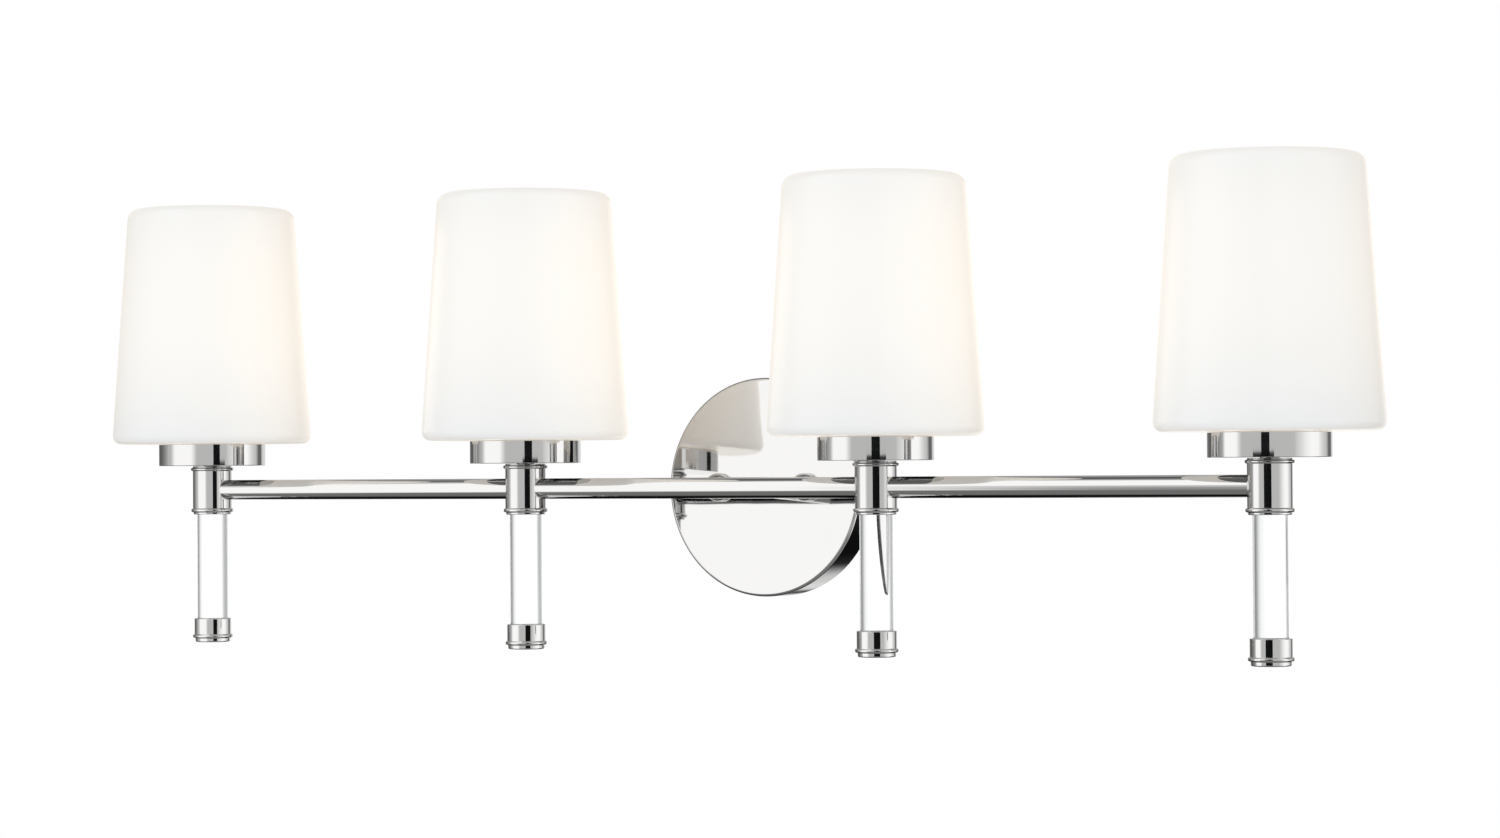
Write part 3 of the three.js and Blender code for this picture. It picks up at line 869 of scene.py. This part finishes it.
class LIGHTBAR_OT_tubes(bpy.types.Operator):
    """Turns the three bar tubes and the arm that holds the bar off the wall"""

    bl_idname = "lightbar.tubes"
    bl_label = "Bar and Arm"

    def execute(self, context):
        wall, edge = shapes().tube_wall, shapes().edge_break
        for side in ("left", "middle", "right"):
            node = f"bar_tube_{side}"
            start, end = low(node).x, high(node).x
            radius = (high(node).z - low(node).z) / 2
            outline = [
                (radius - wall, start, 0),
                (radius, start, edge),
                (radius, end, edge),
                (radius - wall, end, 0),
            ]
            middle = centre(node)
            tube = turned(outline, Vector((0, middle.y, middle.z)), X_AXIS)
            finish_piece(tube, f"chrome_bar_{side}", "fixture", [node], chrome())
        node = "arm_tube"
        bar_axis = centre("bar_tube_middle").y
        radius = (high(node).z - low(node).z) / 2
        thread, thread_end = radius - 0.9 * MM, high(node).y
        shoulder = low("back_plate").y - FIT
        outline = [
            (radius - wall, bar_axis, 0),
            (radius, bar_axis, 0),
            (radius, shoulder, edge),
            (thread, shoulder, 0),
            (thread, thread_end, 0.3 * MM),
            (radius - 1.7 * MM, thread_end, 0.2 * MM),
            (radius - 1.7 * MM, shoulder, 0),
            (radius - wall, shoulder - wall, 0),
        ]
        arm = turned(outline, depth_axis(node), Y_AXIS)
        finish_piece(arm, "chrome_arm", "fixture", [node], chrome())
        return {"FINISHED"}


class LIGHTBAR_OT_back_plate(bpy.types.Operator):
    """Turns the round back plate, a shallow pan open towards the wall"""

    bl_idname = "lightbar.back_plate"
    bl_label = "Back Plate"

    def execute(self, context):
        sizes = shapes()
        node = "back_plate"
        front, rear, radius = low(node).y, high(node).y, half_width(node)
        wall = sizes.plate_wall
        outline = [
            (0, front, 0),
            (radius, front, sizes.plate_edge),
            (radius, rear, 0.3 * MM),
            (radius - wall, rear, 0.3 * MM),
            (radius - wall, front + wall, 0.5 * MM),
            (0, front + wall, 0),
        ]
        plate = turned(outline, depth_axis(node), Y_AXIS, closed=False, sides=160)
        finish_piece(plate, "chrome_back_plate", "fixture", [node], plate_chrome())
        return {"FINISHED"}


class LIGHTBAR_OT_cap_nuts(bpy.types.Operator):
    """Turns the two domed nuts on the back plate and the studs they hold to"""

    bl_idname = "lightbar.cap_nuts"
    bl_label = "Domed Nuts and Studs"

    def execute(self, context):
        for side in ("left", "right"):
            node = f"cap_nut_{side}"
            crown, base, radius = low(node).y, high(node).y, half_width(node)
            skirt = base - 2 * MM
            stud = half_width(f"stud_{side}") + 0.6 * MM
            outline = [(0, crown, 0)]
            for degrees in range(84, -1, -7):
                angle = math.radians(degrees)
                outline.append((radius * math.cos(angle), skirt - (skirt - crown) * math.sin(angle), 0))
            outline += [
                (radius, base, 0.4 * MM),
                (stud, base, 0.2 * MM),
                (stud, crown + 3 * MM, 0),
                (0, crown + 3 * MM, 0),
            ]
            nut = turned(outline, depth_axis(node), Y_AXIS, closed=False, sides=72)
            finish_piece(nut, f"chrome_dome_nut_{side}", node, [node], chrome())
            self.stud(side)
        return {"FINISHED"}

    def stud(self, side):
        node = f"stud_{side}"
        tip, back, radius = low(node).y, high(node).y, half_width(node)
        pitch = 0.8 * MM
        outline = [(0, tip, 0), (radius - 0.5 * MM, tip, 0.1 * MM)]
        turns = int((back - tip - 1 * MM) / pitch)
        for turn in range(turns):
            start = tip + 0.4 * MM + turn * pitch
            outline += [(radius, start, 0.08 * MM), (radius - 0.4 * MM, start + pitch / 2, 0.08 * MM)]
        outline += [(radius, back, 0.1 * MM), (0, back, 0)]
        stud = turned(outline, depth_axis(node), Y_AXIS, closed=False, sides=32)
        finish_piece(stud, f"threaded_stud_{side}", "fixture", [node], zinc_steel())


class LIGHTBAR_OT_hidden_hardware(bpy.types.Operator):
    """Gives the strap, the lock nut, the ground screw and the leads their finishes"""

    bl_idname = "lightbar.hidden_hardware"
    bl_label = "Strap, Nut, Screw and Leads"

    def execute(self, context):
        finishes = {
            "mounting_strap": zinc_steel(),
            "arm_lock_nut": zinc_steel(),
            "ground_screw": green_steel(),
        }
        for light in LIGHTS:
            finishes[f"lead_{light}"] = lead_sleeve()
        for node, material in finishes.items():
            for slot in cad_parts[node].material_slots:
                slot.material = material
        return {"FINISHED"}


# ------------------------------------------------------------------ stage
CAMERA_PLACE = Vector((1.0513, -1.8319, 0.0089))
CAMERA_AZIMUTH = math.radians(30.34)
CAMERA_ELEVATION = math.radians(-0.84)
CAMERA_ROLL = math.radians(-0.36)
CAMERA_LENS = 86.58
FLOOR_HEIGHT = -1.3
FLOOR_HALF_WIDTH = 6.0
FRONT_LIGHT_PLACE = Vector((0.9, -2.4, 0.6))
FRONT_LIGHT_AIM = Vector((0, 0, 0.05))
FRONT_LIGHT_SIZE = (3.0, 2.0)
FRONT_LIGHT_COLOUR = (0.78, 0.9, 1.0)
FRONT_LIGHT_WATTS = 6
WHITE = (1, 1, 1)
SOFT_LIGHT = (0.24, 0.32, 0.41)
GLASS_LIFT = 1.12
MIRROR_LIFT = 1.40
BEHIND_ABOVE = 0.30

# brightness round the object, by degrees from straight in front, positive towards +X
MIRRORED_AROUND = (
    (-180, 0.60), (-160, 0.64), (-150, 0.42), (-140, 0.22), (-132, 0.14), (-122, 0.10), (-112, 0.10),
    (-104, 0.12), (-97, 0.16), (-90, 0.21), (-80, 0.32), (-70, 0.50), (-66, 0.50), (34, 0.50), (68, 0.51),
    (74, 0.64), (80, 0.71), (86, 0.81), (93, 0.91), (100, 0.98), (107, 1.02), (122, 1.0), (130, 0.80),
    (140, 0.62), (149, 0.54), (154, 0.35), (160, 0.12), (172, 0.14), (180, 0.60),
)
THROUGH_GLASS = (
    (-180, 0.80), (-172, 0.88), (-165, 0.975), (-120, 0.98), (-115, 0.87), (-111, 0.68), (-106, 0.485),
    (-100, 0.39), (-85, 0.34), (-60, 0.5), (0, 0.9), (60, 0.9), (120, 0.75), (140, 0.68), (147, 0.55),
    (152, 0.19), (157, 0.15), (163, 0.30), (168, 0.43), (173, 0.61), (178, 0.75), (180, 0.80),
)
SOFT_AROUND = ((-180, 0.0), (-135, 0.0), (-100, 1.0), (106, 1.0), (138, 0.0), (180, 0.0))
# brightness by degrees above the horizon
MIRRORED_UPRIGHT = ((-90, 0.5), (-38, 0.55), (-22, 1.0), (54, 1.0), (66, 0.55), (90, 0.5))

# parts of the surroundings, by the direction's Y (towards the wall) and Z: where each fades in and is full
STEEP_BELOW = ((0.0, 0.25), (-0.5, -0.7))
BEHIND_BELOW = ((0.3, 0.6), (-0.10, -0.26))
FRONT_BELOW = ((0.1, -0.3), (-0.06, -0.22))
BEHIND_HIGH = ((0.2, 0.5), (0.08, 0.22))
# the two sides of the space below and behind, by the direction's X
BELOW_RIGHT = (-0.18, 0.02)
BELOW_LEFT = (-0.36, -0.44)
FRONT_BELOW_SHADE = 0.42
BELOW_SHADE = 0.96

# each card stands on a line across the floor: where it starts, where it ends, and its foot and top
TALL_BLACK_CARD = ((0.458, -1.017), (0.617, -0.771), (0.019, 0.5))
LOW_BLACK_CARD = ((0.249, -0.780), (0.589, -0.520), (-0.2, 0.019))
WIDE_WHITE_CARD = ((-1.30, -0.58), (-0.21, -1.15), (-0.74, 2.25))
HIGH_WHITE_CARD = ((-0.55, -0.975), (-0.02, -1.252), (0.09, 2.25))
# how far in from its start, its end, its foot and its top a white card fades
WIDE_WHITE_FADES = (0.30, 0.29, 0.30, 0.62)
HIGH_WHITE_FADES = (0.10, 0.12, 0.21, 0.62)
WHITE_CARD_GLOW = 1.01 * MIRROR_LIFT


class LIGHTBAR_OT_stage(bpy.types.Operator):
    """Sets the camera, the pale floor and the soft studio light"""

    bl_idname = "lightbar.stage"
    bl_label = "Stage"

    def execute(self, context):
        self.camera(context)
        self.floor()
        self.surroundings(context)
        self.cards()
        self.front_light(context)
        context.scene.view_settings.view_transform = "Standard"
        return {"FINISHED"}

    def camera(self, context):
        back = Vector((
            math.sin(CAMERA_AZIMUTH) * math.cos(CAMERA_ELEVATION),
            -math.cos(CAMERA_AZIMUTH) * math.cos(CAMERA_ELEVATION),
            math.sin(CAMERA_ELEVATION),
        ))
        right = Vector((math.cos(CAMERA_AZIMUTH), math.sin(CAMERA_AZIMUTH), 0))
        turn = Matrix((right, back.cross(right), back)).transposed()
        roll = Matrix.Rotation(CAMERA_ROLL, 3, "Z")
        data = bpy.data.cameras.new("Camera")
        data.lens = CAMERA_LENS
        data.sensor_width = 36
        data.clip_start = 0.05
        data.clip_end = 60
        camera = bpy.data.objects.new("Camera", data)
        context.scene.collection.objects.link(camera)
        camera.matrix_world = Matrix.Translation(CAMERA_PLACE) @ (turn @ roll).to_4x4()
        context.scene.camera = camera

    def floor(self):
        work = bmesh.new()
        bmesh.ops.create_grid(work, x_segments=2, y_segments=2, size=FLOOR_HALF_WIDTH)
        bmesh.ops.translate(work, vec=(0, 0, FLOOR_HEIGHT), verts=work.verts[:])
        material, tree, shader = new_material("Pale floor")
        shader.inputs["Base Color"].default_value = (0.86, 0.86, 0.85, 1)
        shader.inputs["Roughness"].default_value = 0.7
        shader.inputs["Emission Color"].default_value = (0.72, 0.68, 0.63, 1)
        shader.inputs["Emission Strength"].default_value = 1.0
        floor = new_object(work, "Floor", material)
        floor.visible_glossy = False
        floor.visible_diffuse = False

    def surroundings(self, context):
        """A white studio. The chrome, the clear rods and the opal glass each get their own share."""
        world = bpy.data.worlds.new("Studio")
        context.scene.world = world
        world.use_nodes = True
        tree = world.node_tree
        tree.nodes.clear()
        toward = split_place(tree, "Generated")
        behind = calculated(tree, "MULTIPLY", toward["Y"], -1.0)
        azimuth = calculated(tree, "ARCTAN2", toward["X"], behind)
        in_chrome = self.background(tree, WHITE, self.mirrored(tree, toward, azimuth))
        in_glass = self.background(tree, WHITE, self.around(tree, azimuth, THROUGH_GLASS, GLASS_LIFT))
        on_opal = self.background(tree, SOFT_LIGHT, self.around(tree, azimuth, SOFT_AROUND))
        backdrop = self.background(tree, WHITE, 1.0)
        path = tree.nodes.new("ShaderNodeLightPath")
        shader = on_opal
        for ray, choice in (("Glossy", in_chrome), ("Transmission", in_glass), ("Camera", backdrop)):
            shader = self.mixed(tree, path.outputs[f"Is {ray} Ray"], shader, choice)
        output = tree.nodes.new("ShaderNodeOutputWorld")
        tree.links.new(shader, output.inputs["Surface"])

    def mirrored(self, tree, toward, azimuth):
        """How bright the studio looks in the chrome."""
        height = calculated(tree, "ARCSINE", toward["Z"])
        upright = self.around(tree, height, MIRRORED_UPRIGHT)
        light = calculated(tree, "MULTIPLY", self.around(tree, azimuth, MIRRORED_AROUND), upright)
        light = self.dimmed(tree, light, self.zone(tree, toward, FRONT_BELOW), FRONT_BELOW_SHADE)
        high = self.zone(tree, toward, BEHIND_HIGH)
        light = calculated(tree, "MULTIPLY_ADD", high, BEHIND_ABOVE, self.dimmed(tree, light, high, 1.0))
        sides = calculated(
            tree, "MAXIMUM", fade(tree, toward["X"], *BELOW_RIGHT), fade(tree, toward["X"], *BELOW_LEFT)
        )
        corners = calculated(tree, "MULTIPLY", self.zone(tree, toward, BEHIND_BELOW), sides)
        dark = calculated(tree, "MAXIMUM", self.zone(tree, toward, STEEP_BELOW), corners)
        light = self.dimmed(tree, light, dark, BELOW_SHADE)
        return calculated(tree, "MULTIPLY", light, MIRROR_LIFT)

    def zone(self, tree, toward, limits):
        """1 inside a soft-edged part of the surroundings."""
        by_depth, by_height = limits
        return calculated(
            tree, "MULTIPLY", fade(tree, toward["Y"], *by_depth), fade(tree, toward["Z"], *by_height)
        )

    def dimmed(self, tree, value, mask, amount):
        """Takes a share of a brightness away where the mask is 1."""
        return calculated(tree, "MULTIPLY", value, calculated(tree, "MULTIPLY_ADD", mask, -amount, 1.0))

    def around(self, tree, angle, stops, lift=1.0):
        """Brightness by angle, from the first stop's degrees to the last one's."""
        first, last = stops[0][0], stops[-1][0]
        share = mapped(tree, angle, math.radians(first), math.radians(last))
        tones = [
            ((degrees - first) / (last - first), (brightness * lift,) * 3) for degrees, brightness in stops
        ]
        return ramp(tree, share, tones)

    def background(self, tree, colour, strength):
        node = tree.nodes.new("ShaderNodeBackground")
        feed(tree, node.inputs["Color"], colour)
        feed(tree, node.inputs["Strength"], strength)
        return node.outputs["Background"]

    def mixed(self, tree, factor, first, second):
        """Blends two shaders by a factor."""
        mix = tree.nodes.new("ShaderNodeMixShader")
        for socket, source in zip(mix.inputs, (factor, first, second)):
            tree.links.new(source, socket)
        return mix.outputs["Shader"]

    def cards(self):
        """Cards that show only in polished metal: black ones draw crisp lines, white ones glare."""
        black, tree, shader = new_material("Black card")
        shader.inputs["Base Color"].default_value = (0.012, 0.012, 0.012, 1)
        shader.inputs["Roughness"].default_value = 0.9
        wide = self.white("White card", WIDE_WHITE_CARD, WIDE_WHITE_FADES)
        high = self.white("High card", HIGH_WHITE_CARD, HIGH_WHITE_FADES)
        self.card("Tall black card", black, TALL_BLACK_CARD)
        self.card("Low black card", black, LOW_BLACK_CARD)
        self.card("White card", wide, WIDE_WHITE_CARD)
        self.card("High white card", high, HIGH_WHITE_CARD)

    def white(self, name, place, fades):
        """A white glow that fades out towards the card's edges."""
        (start, _), (end, _), (foot, top) = place
        at_start, at_end, at_foot, at_top = fades
        material, tree, shader = new_material(name)
        tree.nodes.remove(shader)
        spot = split_place(tree)
        sides = calculated(
            tree, "MULTIPLY",
            fade(tree, spot["X"], start, start + at_start),
            fade(tree, spot["X"], end, end - at_end),
        )
        ends = calculated(
            tree, "MULTIPLY",
            fade(tree, spot["Z"], foot, foot + at_foot),
            fade(tree, spot["Z"], top, top - at_top),
        )
        cover = calculated(tree, "MULTIPLY", sides, ends)
        glow = tree.nodes.new("ShaderNodeEmission")
        glow.inputs["Strength"].default_value = WHITE_CARD_GLOW
        clear = tree.nodes.new("ShaderNodeBsdfTransparent")
        shown = self.mixed(tree, cover, clear.outputs["BSDF"], glow.outputs["Emission"])
        tree.links.new(shown, tree.nodes["Material Output"].inputs["Surface"])
        return material

    def card(self, name, material, place):
        """An upright card on a line across the floor, seen only in metal."""
        start, end, (foot, top) = place
        work = bmesh.new()
        corners = [work.verts.new((*spot, foot)) for spot in (start, end)]
        edge = work.edges.new(corners)
        risen = bmesh.ops.extrude_edge_only(work, edges=[edge])["geom"]
        upper = [item for item in risen if isinstance(item, bmesh.types.BMVert)]
        bmesh.ops.translate(work, vec=(0, 0, top - foot), verts=upper)
        card = new_object(work, name, material)
        card.visible_camera = False
        card.visible_diffuse = False
        card.visible_transmission = False
        card.visible_shadow = False

    def front_light(self, context):
        """A broad soft light from the front, which polished metal doesn't mirror."""
        data = bpy.data.lights.new("Front light", "AREA")
        data.shape = "RECTANGLE"
        data.size, data.size_y = FRONT_LIGHT_SIZE
        data.energy = FRONT_LIGHT_WATTS
        data.color = FRONT_LIGHT_COLOUR
        light = bpy.data.objects.new("Front light", data)
        context.scene.collection.objects.link(light)
        light.location = FRONT_LIGHT_PLACE
        light.rotation_mode = "QUATERNION"
        light.rotation_quaternion = (FRONT_LIGHT_AIM - FRONT_LIGHT_PLACE).to_track_quat("-Z", "Y")
        light.visible_glossy = False
        light.visible_camera = False


# ------------------------------------------------------------------ panel and start
OPERATORS = (
    LIGHTBAR_OT_shades,
    LIGHTBAR_OT_lamps,
    LIGHTBAR_OT_lampholders,
    LIGHTBAR_OT_cups,
    LIGHTBAR_OT_hubs,
    LIGHTBAR_OT_rods,
    LIGHTBAR_OT_end_caps,
    LIGHTBAR_OT_tubes,
    LIGHTBAR_OT_back_plate,
    LIGHTBAR_OT_cap_nuts,
    LIGHTBAR_OT_hidden_hardware,
    LIGHTBAR_OT_stage,
)


class LIGHTBAR_PT_panel(bpy.types.Panel):
    """Lists the steps that build the light bar"""

    bl_idname = "LIGHTBAR_PT_panel"
    bl_label = "Vanity Light Bar"
    bl_space_type = "VIEW_3D"
    bl_region_type = "UI"
    bl_category = "Vanity Light"

    def draw(self, context):
        layout = self.layout
        for settings in (context.scene.lightbar_shapes, context.scene.lightbar_colours):
            box = layout.box()
            for name in settings.__annotations__:
                box.prop(settings, name)
        for operator in OPERATORS:
            layout.operator(operator.bl_idname)


CLASSES = (LIGHTBAR_PG_shapes, LIGHTBAR_PG_colours, *OPERATORS, LIGHTBAR_PT_panel)


def register():
    for item in CLASSES:
        bpy.utils.register_class(item)
    bpy.types.Scene.lightbar_shapes = PointerProperty(type=LIGHTBAR_PG_shapes)
    bpy.types.Scene.lightbar_colours = PointerProperty(type=LIGHTBAR_PG_colours)


def unregister():
    del bpy.types.Scene.lightbar_colours
    del bpy.types.Scene.lightbar_shapes
    for item in reversed(CLASSES):
        bpy.utils.unregister_class(item)


def main():
    register()
    for step in ("shades", "lamps", "lampholders", "cups", "hubs", "rods", "end_caps", "tubes", "back_plate",
                 "cap_nuts", "hidden_hardware", "stage"):
        getattr(bpy.ops.lightbar, step)()


if __name__ == "__main__":
    main()
